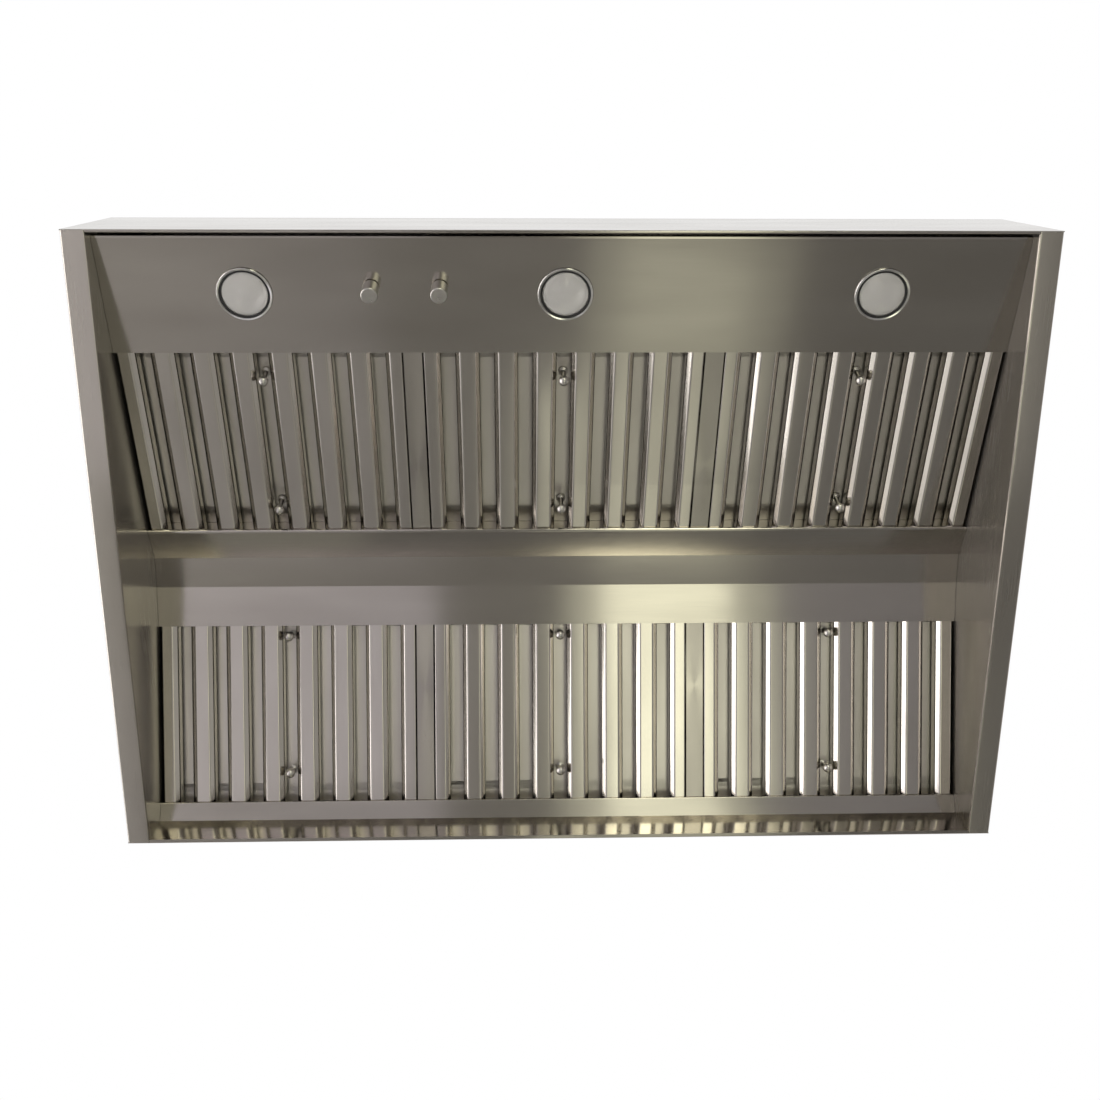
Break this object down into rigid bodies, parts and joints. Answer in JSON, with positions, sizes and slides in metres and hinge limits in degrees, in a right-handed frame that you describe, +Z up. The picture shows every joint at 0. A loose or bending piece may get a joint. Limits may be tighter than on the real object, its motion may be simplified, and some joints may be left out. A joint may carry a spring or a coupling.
{
  "type": "range hood insert",
  "caption": "Built-in stainless range hood insert: sloped lamp and control panel, rows of baffle filters meeting at a ridge, and a blower, damper and duct collar on the deck.",
  "frame": {"origin": "centre of the hood's footprint, in the plane of its bottom rim", "axes": "+X to the right along the hood's width as the cook sees it, -Y towards the cook, +Z up to the deck and the duct"},
  "size_m": [1.2192, 0.838, 0.5159],
  "materials": {
    "shell_steel": "satin brushed stainless sheet, grain along the width",
    "baffle_steel": "bright-rolled stainless sheet of the baffle filters",
    "polished_steel": "polished lamp rings, knobs and ball knobs",
    "galvanised_steel": "galvanised sheet, faintly spangled",
    "motor_casting": "sand-cast aluminium, matt",
    "lamp_glass": "frosted lamp lens",
    "switch_nylon": "black moulded nylon"
  },
  "bodies": {
    "housing": {"front_panel": "shell_steel", "back_panel": "shell_steel", "left_side_panel": "shell_steel", "right_side_panel": "shell_steel", "top_panel": "shell_steel", "control_panel": "shell_steel", "front_filter_rail": "galvanised_steel", "centre_ridge": "shell_steel", "rear_filter_rail": "shell_steel", "front_left_divider": "shell_steel", "front_right_divider": "shell_steel", "rear_left_divider": "shell_steel", "rear_right_divider": "shell_steel", "left_lamp_bezel": "polished_steel", "left_lamp_lens": "lamp_glass", "left_lamp_can": "galvanised_steel", "centre_lamp_bezel": "polished_steel", "centre_lamp_lens": "lamp_glass", "centre_lamp_can": "galvanised_steel", "right_lamp_bezel": "polished_steel", "right_lamp_lens": "lamp_glass", "right_lamp_can": "galvanised_steel", "light_switch": "switch_nylon", "fan_switch": "switch_nylon", "blower_box": "shell_steel", "blower_scroll": "galvanised_steel", "blower_motor": "motor_casting", "motor_bracket": "galvanised_steel", "duct_collar": "galvanised_steel", "junction_box": "galvanised_steel", "junction_box_lid": "galvanised_steel"},
    "front_left_filter": {"front_left_filter_frame": "baffle_steel", "front_left_filter_baffles": "baffle_steel", "front_left_filter_lower_knob": "polished_steel", "front_left_filter_upper_knob": "polished_steel"},
    "front_centre_filter": {"front_centre_filter_frame": "baffle_steel", "front_centre_filter_baffles": "baffle_steel", "front_centre_filter_lower_knob": "polished_steel", "front_centre_filter_upper_knob": "polished_steel"},
    "front_right_filter": {"front_right_filter_frame": "baffle_steel", "front_right_filter_baffles": "baffle_steel", "front_right_filter_lower_knob": "polished_steel", "front_right_filter_upper_knob": "polished_steel"},
    "rear_left_filter": {"rear_left_filter_frame": "baffle_steel", "rear_left_filter_baffles": "baffle_steel", "rear_left_filter_lower_knob": "polished_steel", "rear_left_filter_upper_knob": "polished_steel"},
    "rear_centre_filter": {"rear_centre_filter_frame": "baffle_steel", "rear_centre_filter_baffles": "baffle_steel", "rear_centre_filter_lower_knob": "polished_steel", "rear_centre_filter_upper_knob": "polished_steel"},
    "rear_right_filter": {"rear_right_filter_frame": "baffle_steel", "rear_right_filter_baffles": "baffle_steel", "rear_right_filter_lower_knob": "polished_steel", "rear_right_filter_upper_knob": "polished_steel"},
    "light_knob": {"light_knob": "polished_steel"},
    "fan_knob": {"fan_knob": "polished_steel"},
    "blower_wheel": {"blower_wheel": "galvanised_steel"},
    "front_damper": {"front_damper_flap": "galvanised_steel"},
    "back_damper": {"back_damper_flap": "galvanised_steel"}
  },
  "joints": [
    {"name": "front_left_filter_lift_out", "type": "slide", "parent": "housing", "child": "front_left_filter", "axis": [0, 0.9613, 0.2756], "range_m": [0, 0.0083]},
    {"name": "front_centre_filter_lift_out", "type": "slide", "parent": "housing", "child": "front_centre_filter", "axis": [0, 0.9613, 0.2756], "range_m": [0, 0.0083]},
    {"name": "front_right_filter_lift_out", "type": "slide", "parent": "housing", "child": "front_right_filter", "axis": [0, 0.9613, 0.2756], "range_m": [0, 0.0083]},
    {"name": "rear_left_filter_lift_out", "type": "slide", "parent": "housing", "child": "rear_left_filter", "axis": [0, -0.9613, 0.2756], "range_m": [0, 0.0083]},
    {"name": "rear_centre_filter_lift_out", "type": "slide", "parent": "housing", "child": "rear_centre_filter", "axis": [0, -0.9613, 0.2756], "range_m": [0, 0.0083]},
    {"name": "rear_right_filter_lift_out", "type": "slide", "parent": "housing", "child": "rear_right_filter", "axis": [0, -0.9613, 0.2756], "range_m": [0, 0.0083]},
    {"name": "light_knob_turn", "type": "hinge", "parent": "housing", "child": "light_knob", "pos_m": [-0.244, -0.34603, 0.03813], "axis": [0, -0.2756, 0.9613], "range_deg": [0, 270]},
    {"name": "fan_knob_turn", "type": "hinge", "parent": "housing", "child": "fan_knob", "pos_m": [-0.158, -0.34603, 0.03813], "axis": [0, -0.2756, 0.9613], "range_deg": [0, 270]},
    {"name": "blower_wheel_spin", "type": "hinge", "parent": "housing", "child": "blower_wheel", "pos_m": [0, 0.04, 0.34123], "axis": [1, 0, 0], "continuous": true},
    {"name": "front_damper_swing", "type": "hinge", "parent": "housing", "child": "front_damper", "pos_m": [0, 0.04, 0.48593], "axis": [-1, 0, 0], "range_deg": [0, 75]},
    {"name": "back_damper_swing", "type": "hinge", "parent": "housing", "child": "back_damper", "pos_m": [0, 0.04, 0.48593], "axis": [1, 0, 0], "range_deg": [0, 75]}
  ]
}
